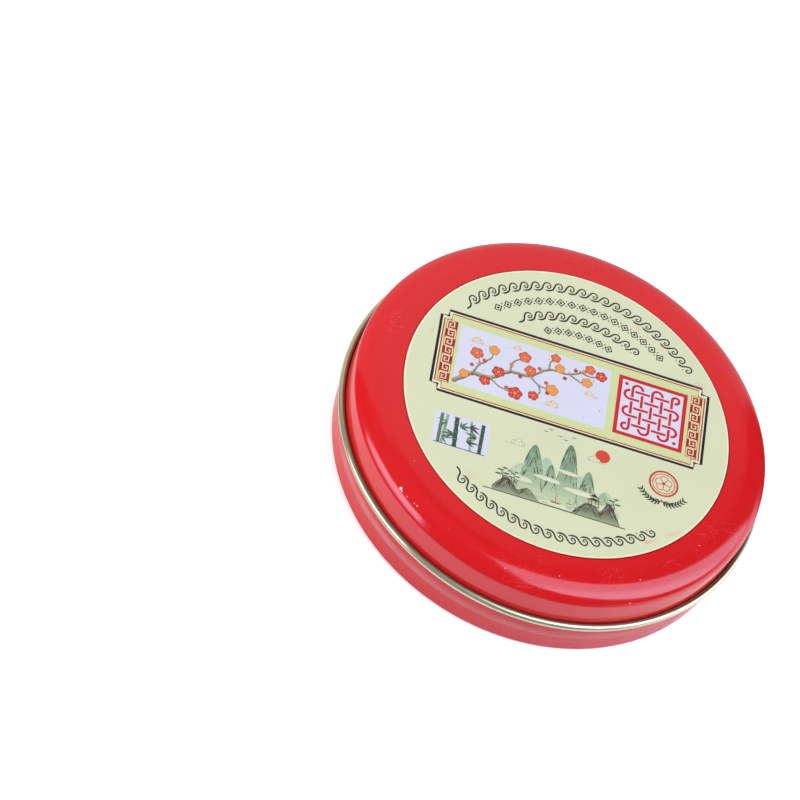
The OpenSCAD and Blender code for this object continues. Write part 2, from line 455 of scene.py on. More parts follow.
class Print:
    def __init__(self):
        self.shapes = []
        self.place = (0.0, 0.0)         # where the group being drawn goes

    def fill(self, points, tone):
        out = []
        for p in points:
            p = (p[0] + self.place[0], p[1] + self.place[1])
            if not out or math.hypot(p[0] - out[-1][0], p[1] - out[-1][1]) > 2e-3:
                out.append(p)
        if len(out) > 2 and math.hypot(out[0][0] - out[-1][0], out[0][1] - out[-1][1]) < 2e-3:
            out.pop()
        area = sum(a[0] * b[1] - b[0] * a[1] for a, b in zip(out, out[1:] + out[:1]))
        if len(out) < 3 or abs(area) < 1e-4:
            return
        self.shapes.append((out if area > 0 else out[::-1], tone))

    def box(self, x0, y0, x1, y1, tone):
        self.fill([(x0, y0), (x1, y0), (x1, y1), (x0, y1)], tone)

    def disc(self, x, y, r, tone, n=20, squash=1.0, turn=0.0):
        c, s = math.cos(turn), math.sin(turn)
        pts = []
        for k in range(n):
            a = 2 * math.pi * k / n
            u, v = r * math.cos(a), r * squash * math.sin(a)
            pts.append((x + u * c - v * s, y + u * s + v * c))
        self.fill(pts, tone)

    def stroke(self, points, width, tone, closed=False, ends=False):
        """A line along points. width is a number, or a function of 0..1 along it."""
        n = len(points)
        sides = []
        for i in range(n):
            a = points[i - 1] if (i or closed) else points[i]
            b = points[(i + 1) % n] if (i < n - 1 or closed) else points[i]
            dx, dy = b[0] - a[0], b[1] - a[1]
            d = math.hypot(dx, dy) or 1.0
            w = 0.5 * (width(i / (n - 1)) if callable(width) else width)
            if 0 < i < n - 1 or closed:
                p, q, r = points[i - 1], points[i], points[(i + 1) % n]
                a1 = math.atan2(q[1] - p[1], q[0] - p[0])
                a2 = math.atan2(r[1] - q[1], r[0] - q[0])
                w /= max(0.6, abs(math.cos((a2 - a1) / 2)))
            nx, ny = -dy / d * w, dx / d * w
            sides.append(((points[i][0] + nx, points[i][1] + ny), (points[i][0] - nx, points[i][1] - ny)))
        for i in range(n if closed else n - 1):
            (l0, r0), (l1, r1) = sides[i], sides[(i + 1) % n]
            self.fill([r0, r1, l1, l0], tone)
        if ends:
            for i in (0, n - 1):
                w = width(i / (n - 1)) if callable(width) else width
                self.disc(points[i][0], points[i][1], w / 2, tone, 10)

    def mesh(self, name, radius, rim, height, z):
        """The shapes cut to one flat disc, with a rounded edge and an underside."""
        verts, faces = [], []
        for points, tone in self.shapes:
            faces.append(list(range(len(verts), len(verts) + len(points))))
            verts += [Vector(p) for p in points]
        co, _, tris, _, _, _ = geometry.delaunay_2d_cdt(verts, [], faces, 1, 1e-4, True)
        co = np.array([(v[0], v[1]) for v in co])
        tris = np.array([t for t in tris if len(t) == 3])
        mid = co[tris].mean(axis=1)
        order = np.argsort(mid[:, 0])
        mid = mid[order]
        tones = np.zeros(len(tris), dtype=np.int64)
        for k, (points, tone) in enumerate(self.shapes):
            ring = np.array(points)
            lo, hi = ring.min(axis=0), ring.max(axis=0)
            i0, i1 = np.searchsorted(mid[:, 0], (lo[0], hi[0]))
            at = i0 + np.nonzero((mid[i0:i1, 1] >= lo[1]) & (mid[i0:i1, 1] <= hi[1]))[0]
            if not len(at):
                continue
            x, y = mid[at, 0], mid[at, 1]
            odd = np.zeros(len(at), dtype=bool)
            for a, b in zip(ring, np.roll(ring, -1, axis=0)):
                if a[1] != b[1]:
                    odd ^= ((a[1] > y) != (b[1] > y)) & (x < (b[0] - a[0]) * (y - a[1]) / (b[1] - a[1]) + a[0])
            tones[order[at[odd]]] = k
        tris = tris.tolist()
        mesh = bpy.data.meshes.new(name)
        mesh.from_pydata([(p[0] * MM, p[1] * MM, z * MM) for p in co], [], tris)
        colour = mesh.color_attributes.new("ink", "FLOAT_COLOR", "CORNER")
        data = np.ones((len(mesh.loops), 4))
        for poly in mesh.polygons:
            for li in poly.loop_indices:
                data[li, :3] = self.shapes[tones[poly.index]][1]
        colour.data.foreach_set("color", data.ravel())
        work = bmesh.new()
        work.from_mesh(mesh)
        layer = work.loops.layers.float_color["ink"]
        bmesh.ops.remove_doubles(work, verts=work.verts, dist=1e-7)
        for f in work.faces:
            if f.normal.z < 0:
                f.normal_flip()
        # the edge goes down in two small steps, then the underside closes it
        rings = [[e for e in work.edges if len(e.link_faces) == 1]]
        tone = (*self.shapes[rim][1], 1.0)
        for shrink, drop in ((1.0 + 0.025 / radius, -0.02), (1.0 + 0.03 / radius, -0.02), (1.0, -(height - 0.04))):
            made = bmesh.ops.extrude_edge_only(work, edges=rings[-1])["geom"]
            for v in [g for g in made if isinstance(g, bmesh.types.BMVert)]:
                v.co.x *= shrink
                v.co.y *= shrink
                v.co.z += drop * MM
            for f in [g for g in made if isinstance(g, bmesh.types.BMFace)]:
                for loop in f.loops:
                    loop[layer] = tone
            rings.append([g for g in made if isinstance(g, bmesh.types.BMEdge) and len(g.link_faces) == 1])
        made = bmesh.ops.edgeloop_fill(work, edges=rings[-1])["faces"]
        for f in made:
            for loop in f.loops:
                loop[layer] = tone
        bmesh.ops.recalc_face_normals(work, faces=work.faces)
        work.to_mesh(mesh)
        work.free()
        return new_object(name, mesh)


def catmull(points, n=6, closed=False):
    out = []
    m = len(points)
    for i in range(m if closed else m - 1):
        p = [points[(i + k) % m] if closed else points[min(max(i + k, 0), m - 1)] for k in (-1, 0, 1, 2)]
        for j in range(n):
            t = j / n
            out.append(tuple(0.5 * (2 * p[1][q] + (p[2][q] - p[0][q]) * t
                                    + (2 * p[0][q] - 5 * p[1][q] + 4 * p[2][q] - p[3][q]) * t * t
                                    + (3 * p[1][q] - p[0][q] - 3 * p[2][q] + p[3][q]) * t ** 3) for q in (0, 1)))
    if not closed:
        out.append(tuple(points[-1][:2]))
    return out


rng = random.Random(41)
art = Print()
CREAM = ink(217, 226, 193)
PALE = ink(217, 223, 245)
RULE = ink(26, 20, 22)
SEAL = ink(203, 36, 46)
TEXT = ink(44, 42, 40)


def around(r, n=256):
    return [(r * math.cos(2 * math.pi * k / n), r * math.sin(2 * math.pi * k / n)) for k in range(n)]


art.fill(around(LABEL_R - 0.03), ink(250, 243, 206))
RIM = 0
art.fill(around(LABEL_R - 0.29), CREAM)

# the panel: notched corners, a line round it, and a strip of key fret at each end
art.place = (0.0, 10.6)
X0, X1, Y0, Y1 = -28.2, 28.3, -14.7, 4.6


def notched(grow, cut):
    a, b, c, d = X0 - grow, X1 + grow, Y0 - grow, Y1 + grow
    return [(a + cut, c), (b - cut, c), (b - cut, c + cut), (b, c + cut), (b, d - cut), (b - cut, d - cut),
            (b - cut, d), (a + cut, d), (a + cut, d - cut), (a, d - cut), (a, c + cut), (a + cut, c + cut)]


art.fill(notched(0.55, 1.5), ink(232, 233, 204))
art.fill(notched(0.0, 1.5), ink(210, 223, 166))
art.stroke(notched(0.55, 1.5), 0.42, RULE, closed=True)
art.stroke(notched(-0.15, 1.5), 0.2, ink(176, 60, 58), closed=True)
KEY = ((0.06, 0.06), (0.94, 0.06), (0.94, 0.94), (0.28, 0.94), (0.28, 0.34), (0.70, 0.34), (0.70, 0.66), (0.50, 0.66))
for a in (X0 + 0.75, X1 - 2.95):
    art.box(a - 0.12, Y0 + 1.83, a + 2.32, Y1 - 1.83, ink(150, 34, 44))
    for k in range(7):
        y = Y0 + 1.95 + 2.2 * k
        turn = [(u, v) if k % 2 else (1 - u, v) for u, v in KEY]
        art.stroke([(a + 2.2 * u, y + 2.2 * v) for u, v in turn], 0.25, ink(238, 214, 168))

# picture field: a flowering branch among clouds
PX0, PX1, PY0, PY1 = -24.4, 7.9, -12.5, 2.5
art.box(PX0, PY0, PX1, PY1, PALE)


def cloud(x, y, s, tone, light, flip=1):
    """A small curled cloud: three lobes over a long tail."""
    for dx, dy, r in ((-1.3, 0.1, 0.75), (0.0, 0.65, 1.0), (1.35, 0.05, 0.8)):
        art.disc(x + flip * dx * s, y + dy * s, r * s, tone, 22)
        art.disc(x + flip * dx * s, y + dy * s, (r - 0.2) * s, light, 22)
    art.box(x - 1.3 * s, y - 0.65 * s, x + 1.35 * s, y + 0.35 * s, light)
    art.stroke([(x - flip * 2.0 * s, y - 0.62 * s), (x + flip * 2.6 * s, y - 0.66 * s), (x + flip * 4.3 * s, y - 0.45 * s)],
               lambda u: 0.24 * s * (1.0 - 0.7 * u), tone)
    for dx, dy, r in ((-1.15, 0.0, 0.34), (0.05, 0.5, 0.5), (1.2, -0.05, 0.36)):
        turns = [(x + flip * (dx + (r * (1 - 0.85 * t)) * math.cos(4.6 * t + 2.6)) * s,
                  y + (dy + (r * (1 - 0.85 * t)) * math.sin(4.6 * t + 2.6)) * s) for t in [i / 9 for i in range(10)]]
        art.stroke(turns, 0.16 * s, tone)


def blossom(x, y, r, petal, dark, heart, turn=0.0):
    for k in range(5):
        a = turn + 2 * math.pi * k / 5
        art.disc(x + 0.56 * r * math.cos(a), y + 0.56 * r * math.sin(a), 0.52 * r, dark, 18)
    for k in range(5):
        a = turn + 2 * math.pi * k / 5
        art.disc(x + 0.57 * r * math.cos(a), y + 0.57 * r * math.sin(a), 0.41 * r, petal, 18)
    for k in range(5):
        a = turn + 2 * math.pi * (k + 0.5) / 5
        art.stroke([(x, y), (x + 0.5 * r * math.cos(a), y + 0.5 * r * math.sin(a))], 0.09 * r, dark)
        art.disc(x + 0.55 * r * math.cos(a), y + 0.55 * r * math.sin(a), 0.09 * r, heart, 8)
    art.disc(x, y, 0.22 * r, heart, 12)
    art.disc(x, y, 0.1 * r, dark, 8)


TAN, TAN_LIGHT = ink(196, 168, 104), ink(232, 222, 206)
BARK, BARK_DARK, BARK_LIGHT = ink(152, 142, 112), ink(98, 84, 66), ink(190, 184, 158)
for x, y, s, f in ((-20.6, -0.4, 0.62, 1), (-3.4, -10.4, 0.66, -1), (3.9, -5.0, 0.5, 1), (-12.2, 0.9, 0.42, -1)):
    cloud(x, y, s, TAN, TAN_LIGHT, f)


def branch(points, w0, w1):
    run = catmull(points, 8)
    seed = [rng.uniform(-0.07, 0.07) for _ in run]
    run = [(p[0] + q, p[1] - q) for p, q in zip(run, seed)]
    n = len(run)
    knot = [1 + rng.uniform(-0.16, 0.2) for _ in run]
    width = lambda u: (w0 + (w1 - w0) * u) * knot[min(n - 1, int(round(u * (n - 1))))]
    art.stroke([(x + 0.05, y - 0.10) for x, y in run], width, BARK_DARK, ends=True)
    art.stroke(run, lambda u: 0.78 * width(u), BARK, ends=True)
    art.stroke([(x - 0.03, y + 0.2 * width(i / (n - 1))) for i, (x, y) in enumerate(run)], lambda u: 0.22 * width(u), BARK_LIGHT)
    return run


main = branch([(-24.1, -11.6), (-20.8, -8.6), (-16.9, -8.3), (-13.2, -5.4), (-9.0, -4.9), (-5.2, -1.9), (-0.8, -1.5), (3.4, 1.1)], 1.15, 0.26)
twigs = [
    [(-20.8, -8.6), (-19.6, -5.6), (-20.3, -3.4)], [(-19.7, -6.0), (-17.4, -3.6), (-16.9, -1.4)],
    [(-16.9, -8.3), (-14.6, -9.9), (-11.4, -10.3)], [(-13.2, -5.4), (-12.6, -2.6), (-10.4, -0.8)],
    [(-9.0, -4.9), (-6.6, -6.6), (-3.9, -6.9)], [(-6.9, -6.5), (-6.4, -8.2), (-7.6, -9.6)],
    [(-5.2, -1.9), (-5.1, -0.1), (-4.0, 1.3)], [(-0.8, -1.5), (1.4, -2.5), (3.1, -2.4)], [(1.2, 0.0), (3.6, -0.5), (5.9, 0.2)]]
tips = []
for t in twigs:
    tips.append(branch(t, 0.46, 0.15)[-1])
PETALS = ((ink(226, 104, 74), ink(176, 48, 44)), (ink(236, 160, 84), ink(190, 92, 44)), (ink(214, 66, 62), ink(150, 30, 36)))
HEART = ink(240, 206, 96)
spots = [(tips[0], 1.35), (tips[1], 1.15), (tips[2], 1.5), (tips[3], 1.3), (tips[4], 1.35), (tips[5], 1.1), (tips[6], 1.05),
         (tips[7], 1.15), (tips[8], 1.2), (main[-1], 1.1), ((-22.3, -9.3), 1.05), ((-15.4, -6.4), 1.3), ((-8.9, -3.7), 1.25),
         ((-2.9, -0.9), 1.1), ((-17.9, -9.5), 1.15)]
for i, ((x, y), r) in enumerate(spots):
    petal, dark = PETALS[i % 3]
    blossom(x, y, r, petal, dark, HEART, rng.uniform(0, 2))
for x, y in ((-18.6, -4.6), (-21.0, -6.6), (-12.9, -3.6), (-13.3, -9.6), (-10.8, -5.9), (-5.3, -5.5), (-1.6, -2.9), (0.4, -0.2), (-7.1, -2.5), (2.2, 0.2), (-4.8, -7.9)):
    a = rng.uniform(0, 6.28)
    petal, dark = PETALS[rng.randrange(3)]
    art.disc(x, y, 0.46, dark, 12)
    art.disc(x + 0.08 * math.cos(a), y + 0.08 * math.sin(a), 0.31, petal, 10)
for k in range(26):                     # loose petals on the wind
    x, y = rng.uniform(-22, 6.8), rng.uniform(-11.8, 1.8)
    art.disc(x, y, rng.uniform(0.13, 0.24), PETALS[rng.randrange(3)][0], 8, 0.6, rng.uniform(0, 3))

# the knot: one endless interlaced line in a red frame
KX, KY, KS = 17.05, -5.0, 7.45
art.box(KX - KS, KY - KS, KX + KS, KY + KS, SEAL)
art.box(KX - KS + 0.85, KY - KS + 0.85, KX + KS - 0.85, KY + KS - 0.85, PALE)
GAP, WIDE, LOOP, TURN = 2.12, 0.58, 0.62, 0.8
lanes = [(k - 2) * GAP for k in range(5)]
top = lanes[-1]


def knot_line(points, halo=True):
    if halo:
        art.stroke(points, WIDE + 0.5, PALE)
    art.stroke(points, WIDE, SEAL)


def lay(horizontal, p, q):
    return (KX + (p if horizontal else q), KY + (q if horizontal else p))


for horizontal in (True, False):
    for k, at in enumerate(lanes):
        knot_line([lay(horizontal, -top - (TURN if k == 0 else LOOP), at), lay(horizontal, top + (TURN if k == 4 else LOOP), at)])
    for k in (0, 2):                    # hairpins on the far side
        knot_line([lay(horizontal, top + LOOP - 0.06 + GAP / 2 * math.cos(a), lanes[k] + GAP / 2 + GAP / 2 * math.sin(a))
                   for a in [math.radians(-90 + 10 * i) for i in range(19)]], halo=False)
    for k in (1, 3):                    # and on the near side
        knot_line([lay(horizontal, -top - LOOP + 0.06 - GAP / 2 * math.cos(a), lanes[k] + GAP / 2 + GAP / 2 * math.sin(a))
                   for a in [math.radians(-90 + 10 * i) for i in range(19)]], halo=False)
for i, x in enumerate(lanes):           # the horizontal line goes over at every other crossing
    for j, y in enumerate(lanes):
        if (i + j) % 2:
            knot_line([(KX + x - 0.6, KY + y), (KX + x + 0.6, KY + y)])
for s in (-1, 1):                       # two corner loops close the line, and dots fill the other corners
    c = (KX + s * (top + TURN - 0.05), KY + s * (top + TURN - 0.05))
    knot_line([(c[0] + (TURN - 0.05) * math.cos(a), c[1] + (TURN - 0.05) * math.sin(a))
               for a in [math.radians((90 if s < 0 else -90) + 10 * i) for i in range(28)]], halo=False)
    art.disc(KX - s * (top + 1.42), KY + s * (top + 1.42), 0.4, SEAL, 18)

# below the panel: hills over water, with mist between them
art.place = (-0.5, -30.2)
MIST = (217, 226, 193)


def blend3(a, b, t):
    return tuple(a[q] + (b[q] - a[q]) * t for q in range(3))


def ridge(xa, xb, base, peaks, n=64, rough=0.18):
    """Heights of a range of hills along x."""
    jag = [rng.uniform(-1, 1) for _ in range(n + 1)]
    out = []
    for i in range(n + 1):
        x = xa + (xb - xa) * i / n
        y = 0.0
        for c, w, h, p in peaks:
            u = abs(x - c) / w
            if u < 1:
                y = max(y, h * (1 - u ** p))
        smooth = (jag[i] + jag[max(i - 1, 0)] + jag[min(i + 1, n)]) / 3
        out.append((x, base + y + (smooth * rough if y > 0.2 else 0.0)))
    return out


def height(run, x):
    for a, b in zip(run, run[1:]):
        if a[0] <= x <= b[0]:
            return a[1] + (b[1] - a[1]) * (x - a[0]) / max(b[0] - a[0], 1e-6)
    return run[0][1]


def hills(run, base, crown, foot, slices=9):
    top_y = max(p[1] for p in run)
    for k in range(slices):
        lim = top_y - (top_y - base) * (k / slices) ** 0.85
        tone = blend3(crown, foot, k / (slices - 1))
        pts = [(x, min(y, lim)) for x, y in run if min(y, lim) > base + 0.02]
        if len(pts) < 3:
            continue
        art.fill([(pts[0][0], base)] + pts + [(pts[-1][0], base)], ink(*tone))


def hatch(run, base, tone, count, length, lean=0.35, wide=0.13):
    xs = [p[0] for p in run]
    for _ in range(count):
        x = rng.uniform(xs[0] + 0.4, xs[-1] - 0.4)
        y = height(run, x)
        if y < base + 1.0:
            continue
        slope = height(run, x + 0.25) - height(run, x - 0.25)
        drop = min(rng.uniform(0.35, 1.0) * length, (y - base) * 0.62)
        y -= rng.uniform(0.12, 0.5 * (y - base))
        side = 1 if slope < 0 else -1
        pts = [(x, y), (x + side * lean * drop * 0.45, y - drop * 0.5), (x + side * lean * drop * 1.15, y - drop)]
        art.stroke(pts, lambda u: wide * (1.25 - 0.9 * u), tone)


WATER = 7.1
far = ridge(-11.5, 14.0, WATER + 1.0, [(-7.2, 4.2, 6.0, 1.7), (-2.2, 3.4, 9.2, 1.9), (4.8, 4.4, 7.2, 1.8), (10.6, 3.4, 5.2, 1.6)])
hills(far, WATER + 0.6, (176, 204, 178), (212, 223, 191))
hatch(far, WATER + 0.8, ink(158, 188, 162), 60, 2.0, wide=0.1)
art.disc(8.9, 21.6, 1.55, ink(212, 74, 58), 30)
cloud(7.2, 20.2, 0.62, ink(168, 176, 150), ink(224, 231, 205), 1)
cloud(-8.6, 18.6, 0.7, ink(168, 176, 150), ink(224, 231, 205), -1)
mid = ridge(-12.0, 13.2, WATER + 0.4, [(-9.2, 2.4, 4.6, 1.5), (-5.0, 2.9, 12.0, 2.1), (-1.2, 2.0, 8.4, 2.0), (2.3, 2.6, 14.6, 2.3), (6.6, 2.3, 9.4, 2.0), (10.2, 2.2, 5.6, 1.6)], 90, 0.26)
hills(mid, WATER, (104, 138, 112), (196, 214, 180), 12)
hatch(mid, WATER, ink(64, 78, 66), 150, 2.6, 0.22, 0.15)
hatch(mid, WATER, ink(172, 206, 170), 90, 2.0, 0.22, 0.12)
for x, y, w in ((-8.2, 10.6, 3.4), (-1.9, 12.3, 2.8), (5.4, 11.3, 3.6), (2.0, 15.2, 2.2), (10.2, 9.4, 2.8)):
    art.disc(x, y, w, ink(*MIST), 28, 0.16)
    art.disc(x + 0.8, y - 0.32, w * 0.8, ink(224, 231, 207), 24, 0.12)
near = ridge(-12.6, 14.2, WATER - 0.9, [(-9.8, 3.2, 3.6, 1.5), (-5.6, 3.0, 2.4, 1.4), (7.6, 3.6, 3.4, 1.6), (11.6, 2.5, 4.6, 1.5)], 90, 0.2)
hills(near, WATER - 1.1, (86, 70, 66), (150, 172, 136), 8)
hatch(near, WATER - 1.0, ink(46, 38, 38), 110, 1.6, 0.5, 0.15)
hatch(near, WATER - 1.0, ink(140, 178, 140), 60, 1.2, 0.5, 0.12)


def pine(x, y, s):
    art.stroke(catmull([(x, y), (x + 0.25 * s, y + 0.9 * s), (x - 0.1 * s, y + 1.9 * s), (x + 0.3 * s, y + 2.8 * s)], 5),
               lambda u: 0.26 * s * (1.1 - 0.7 * u), ink(70, 52, 46), ends=True)
    for dx, dy, w in ((-0.75, 1.25, 0.8), (0.85, 1.7, 0.85), (-0.5, 2.3, 0.75), (0.45, 2.95, 0.7)):
        for k in range(9):
            a = math.pi * (0.08 + 0.84 * k / 8)
            art.stroke([(x + dx * s, y + dy * s), (x + (dx + w * math.cos(a)) * s, y + (dy + 0.55 * w * math.sin(a)) * s)],
                       lambda u: 0.17 * s * (1.2 - 0.8 * u), ink(52, 82, 60) if k % 2 else ink(78, 112, 80))


def pavilion(x, y, s):
    for dx in (-0.9, -0.32, 0.32, 0.9):
        art.box(x + dx * s - 0.07 * s, y, x + dx * s + 0.07 * s, y + 1.0 * s, ink(120, 40, 38))
    art.box(x - 1.15 * s, y - 0.15 * s, x + 1.15 * s, y + 0.05 * s, ink(96, 84, 72))
    for lift, w in ((1.0, 1.55), (1.75, 1.0)):
        art.fill([(x - w * s, y + (lift + 0.12) * s), (x - 0.72 * w * s, y + (lift + 0.02) * s), (x + 0.72 * w * s, y + (lift + 0.02) * s),
                  (x + w * s, y + (lift + 0.12) * s), (x + 0.62 * w * s, y + (lift + 0.26) * s), (x + 0.2 * w * s, y + (lift + 0.62) * s),
                  (x - 0.2 * w * s, y + (lift + 0.62) * s), (x - 0.62 * w * s, y + (lift + 0.26) * s)], ink(62, 54, 56))
        art.stroke([(x - 0.9 * w * s, y + (lift + 0.11) * s), (x, y + (lift + 0.07) * s), (x + 0.9 * w * s, y + (lift + 0.11) * s)], 0.07 * s, ink(150, 140, 116))
    art.disc(x, y + 2.5 * s, 0.14 * s, ink(190, 60, 50), 8)


pine(-10.9, WATER + 1.6, 1.0)
pine(-8.4, WATER + 1.9, 0.8)
pine(12.4, WATER + 2.2, 0.95)
pavilion(8.3, WATER + 2.1, 1.15)
art.box(-14.4, WATER - 1.25, 15.4, WATER - 1.02, ink(84, 70, 66))
for k in range(34):                     # ripples
    x, y = rng.uniform(-11.5, 12.0), rng.uniform(WATER - 0.75, WATER + 0.45)
    if -4.2 < x < 5.4:
        art.stroke([(x, y), (x + 0.6, y + 0.06), (x + rng.uniform(1.0, 1.7), y)], 0.1, ink(122, 150, 130))
for bx, by, bs in ((0.6, WATER + 0.05, 1.0), (3.4, WATER + 0.75, 0.62)):
    art.fill([(bx - 1.2 * bs, by + 0.22 * bs), (bx - 0.8 * bs, by - 0.1 * bs), (bx + 0.8 * bs, by - 0.1 * bs), (bx + 1.25 * bs, by + 0.3 * bs), (bx + 0.7 * bs, by + 0.12 * bs), (bx - 0.7 * bs, by + 0.12 * bs)], ink(74, 50, 44))
    art.fill([(bx - 0.1 * bs, by + 0.15 * bs), (bx + 0.75 * bs, by + 0.3 * bs), (bx + 0.1 * bs, by + 1.9 * bs), (bx - 0.25 * bs, by + 1.7 * bs)], ink(214, 196, 150))
    art.stroke([(bx, by + 0.1 * bs), (bx - 0.05 * bs, by + 2.05 * bs)], 0.1 * bs, ink(74, 50, 44))
for k in range(5):                      # birds
    x, y = -3.6 + 1.5 * k + rng.uniform(-0.4, 0.4), 23.4 + 0.8 * math.sin(k * 1.7)
    art.stroke([(x - 0.5, y + 0.16), (x - 0.2, y + 0.24), (x, y), (x + 0.2, y + 0.24), (x + 0.5, y + 0.16)], 0.12, ink(70, 60, 60))

# lower right: a red roundel with a blossom, over a short spray of leaves
art.place = (0.0, 0.0)
RX, RY = 21.6, -10.6
RED = ink(206, 62, 56)
for r0, r1 in ((3.15, 2.72), (2.42, 2.24)):
    art.disc(RX, RY, r0, RED, 56)
    art.disc(RX, RY, r1, CREAM, 56)
blossom(RX, RY, 1.75, CREAM, RED, RED, 0.32)
for k in range(10):
    a = 2 * math.pi * k / 10
    art.disc(RX + 2.57 * math.cos(a), RY + 2.57 * math.sin(a), 0.11, RED, 8)
for s in (-1, 1):
    stem = catmull([(RX, RY - 4.3), (RX + s * 1.5, RY - 4.75), (RX + s * 3.3, RY - 4.0), (RX + s * 4.7, RY - 2.5)], 6)
    art.stroke(stem, lambda u: 0.24 - 0.12 * u, TEXT)
    for k in range(2, len(stem) - 1, 2):
        x, y = stem[k]
        a = math.atan2(stem[k + 1][1] - stem[k - 1][1], stem[k + 1][0] - stem[k - 1][0])
        for turn in (0.75, -0.75):
            art.disc(x + 0.52 * math.cos(a + turn), y + 0.52 * math.sin(a + turn), 0.5, TEXT, 12, 0.34, a + turn)
art.disc(RX, RY - 4.3, 0.3, RED, 12)

# lower left: bamboo on a pale field
art.place = (0.3, -24.4)
BX0, BY0, BX1, BY1 = -26.9, 7.0, -15.4, 14.9
art.box(BX0, BY0, BX1, BY1, PALE)
INKS = (ink(56, 84, 62), ink(92, 124, 92), ink(142, 168, 134))
for x, w, lean, tone in ((-18.9, 0.5, -0.35, 2), (-24.9, 0.55, 0.4, 2), (-25.6, 0.72, 0.1, 1), (-22.2, 1.0, -0.14, 0), (-17.0, 0.82, 0.1, 0)):
    y = BY0 + 0.35
    while y < BY1 - 0.5:
        step = min(rng.uniform(1.7, 2.3), BY1 - 0.35 - y)
        xa, xb = x + lean * (y - BY0) * 0.18, x + lean * (y + step - BY0) * 0.18
        art.fill([(xa - w / 2, y), (xa + w / 2, y), (xb + 0.43 * w, y + step * 0.5), (xb + w / 2, y + step - 0.16), (xb - w / 2, y + step - 0.16), (xa - 0.43 * w, y + step * 0.5)], INKS[tone])
        art.box(xb - 0.6 * w, y + step - 0.15, xb + 0.6 * w, y + step - 0.02, INKS[max(tone - 1, 0)])
        y += step
for x, y, a in ((-21.6, 12.4, 0.3), (-22.7, 10.4, 3.4), (-19.6, 13.2, -0.5), (-24.4, 12.9, 3.6), (-17.9, 11.0, 3.0), (-19.9, 9.3, 0.1), (-24.9, 8.9, -0.4)):
    for q, l in ((-0.55, 2.0), (-0.05, 2.7), (0.5, 2.2), (1.05, 1.5)):
        lx, ly = x + 0.5 * l * math.cos(a + q), y + 0.5 * l * math.sin(a + q)
        if BX0 + 0.5 * l < lx < BX1 - 0.5 * l + 0.4 and BY0 + 0.5 * l < ly < BY1 - 0.3 * l:
            leaf = [(x + l * u * math.cos(a + q) - v * l * math.sin(a + q), y + l * u * math.sin(a + q) + v * l * math.cos(a + q))
                    for u, v in ((0, 0), (0.25, 0.10), (0.5, 0.11), (0.8, 0.05), (1, 0), (0.8, -0.05), (0.5, -0.10), (0.25, -0.09))]
            art.fill(leaf, INKS[rng.randrange(2)])
art.box(BX0 + 0.4, BY0 + 0.2, BX1 - 0.4, BY0 + 0.4, INKS[0])

# rows of scrollwork that follow the edge, four above the panel and one below the hills
art.place = (0.0, 0.0)


def on_arc(r, deg, u, v):
    """A point u along and v out of an arc of radius r, from its angle deg."""
    a = math.radians(deg) + u / r
    return ((r + v) * math.cos(a), (r + v) * math.sin(a))


def scroll_row(r, a0, a1, count, h, w):
    """A running wave: each crest curls over into a spiral, and the next one starts beneath it."""
    pitch = math.radians(a1 - a0) * r / count
    for k in range(count):
        u0 = pitch * k
        crest = [(-0.30, -0.40), (0.02, -0.38), (0.26, -0.20), (0.42, 0.14), (0.62, 0.42), (0.90, 0.44), (1.06, 0.18), (0.98, -0.10), (0.80, -0.14), (0.72, 0.04), (0.84, 0.12)]
        if k == count - 1:
            crest = crest[1:]
        run = catmull([on_arc(r, a0, u0 + x * pitch, y * h) for x, y in crest], 5)
        art.stroke(run, lambda q: w * (1.25 - 0.55 * q), TEXT, ends=True)
        art.disc(*on_arc(r, a0, u0 + 0.56 * pitch, -0.34 * h), 0.15, TEXT, 10)


def lozenge_row(r, a0, a1, count, h):
    pitch = math.radians(a1 - a0) * r / count
    for k in range(count):
        u0 = pitch * (k + 0.5)
        diamond = [(-0.36 * pitch, 0), (0, -0.5 * h), (0.36 * pitch, 0), (0, 0.5 * h)]
        art.stroke([on_arc(r, a0, u0 + x, y) for x, y in diamond], 0.24, TEXT, closed=True)
        art.fill([on_arc(r, a0, u0 + 0.42 * x, 0.42 * y) for x, y in diamond], TEXT)
        if k < count - 1:
            for v in (-0.34, 0.34):
                art.disc(*on_arc(r, a0, u0 + 0.5 * pitch, v * h), 0.17, TEXT, 10)


scroll_row(30.5, 142.0, 38.0, 22, 2.3, 0.33)
lozenge_row(26.8, 133.5, 46.5, 17, 1.7)
scroll_row(23.1, 123.0, 57.0, 11, 2.2, 0.33)
lozenge_row(19.5, 113.0, 67.0, 7, 1.7)
scroll_row(30.7, -132.0, -48.0, 18, 2.2, 0.33)

label = art.mesh("label_print", LABEL_R, RIM, LABEL_T, LID_TOP + LABEL_T)
label.data.uv_layers.new(name="OFBake")
uv = label.data.uv_layers["OFBake"].data
flat_uv = np.empty(len(uv) * 2)
index = np.empty(len(uv), dtype=np.int64)
label.data.loops.foreach_get("vertex_index", index)
points = np.empty(len(label.data.vertices) * 3)
label.data.vertices.foreach_get("co", points)
points = points.reshape(-1, 3) / MM
flat_uv = 0.5 + points[index][:, :2] / (2 * (LABEL_R + 0.25))
uv.foreach_set("uv", flat_uv.ravel())


# old smears of red paste: centre, half length, half width, direction, strength
SMUDGES = ((20.2, -25.3, 1.9, 0.6, 35, 0.62), (24.9, -21.9, 2.6, 0.8, 38, 0.26), (12.1, 25.9, 1.0, 0.8, 20, 0.24), (14.4, 24.5, 0.9, 0.5, 0, 0.18),
           (17.8, 23.2, 1.6, 0.6, 60, 0.16), (23.8, 18.1, 1.0, 0.7, 10, 0.28), (26.6, 16.3, 2.0, 1.0, 5, 0.28), (-11.0, 17.8, 1.5, 1.1, 0, 0.16),
           (-30.2, 9.2, 0.8, 0.6, 70, 0.26), (-17.7, -22.6, 2.0, 1.2, -20, 0.14))


